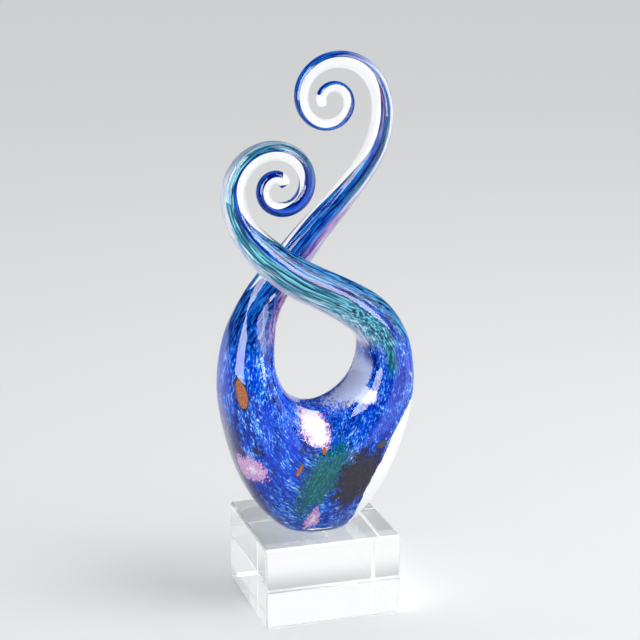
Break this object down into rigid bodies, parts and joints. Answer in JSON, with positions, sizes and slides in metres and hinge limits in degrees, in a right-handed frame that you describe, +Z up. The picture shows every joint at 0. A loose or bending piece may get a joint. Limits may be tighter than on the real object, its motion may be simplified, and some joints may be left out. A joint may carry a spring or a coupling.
{
  "type": "glass award",
  "caption": "Free-standing art-glass award: a folded glass loop with cobalt colour inside, two crossing arms that end in curls, bonded to a clear square block.",
  "frame": {"origin": "centre of the base block's underside, on the surface that the award stands on", "axes": "+Z up, front facing -Y with the front arm's curl to the left, +X to the right seen from the front"},
  "size_m": [0.1119, 0.08, 0.3186],
  "materials": {
    "crystal_block": "polished clear optical crystal",
    "clear_adhesive": "clear cured adhesive",
    "clear_glass": "fire-polished clear glass",
    "cobalt_glass": "deep cobalt glass with light flecks",
    "teal_glass": "streaked teal glass",
    "pink_glass": "soft pink glass",
    "copper_glass": "copper-coloured glass chips",
    "white_glass": "crushed white and pink glass",
    "green_glass": "crushed green glass",
    "dark_glass": "crushed dark grey glass"
  },
  "bodies": {
    "root": {"crystal_base": "crystal_block", "bond_film": "clear_adhesive", "loop_casing": "clear_glass", "front_arm_casing": "clear_glass", "rear_arm_casing": "clear_glass", "loop_colour_core": "cobalt_glass", "front_arm_teal_cane": "teal_glass", "front_arm_cobalt_cane": "cobalt_glass", "rear_arm_cobalt_cane": "cobalt_glass", "rear_arm_pink_cane": "pink_glass", "copper_chips": "copper_glass", "pink_white_chips": "white_glass", "green_patch": "green_glass", "dark_chips": "dark_glass"}
  },
  "joints": []
}
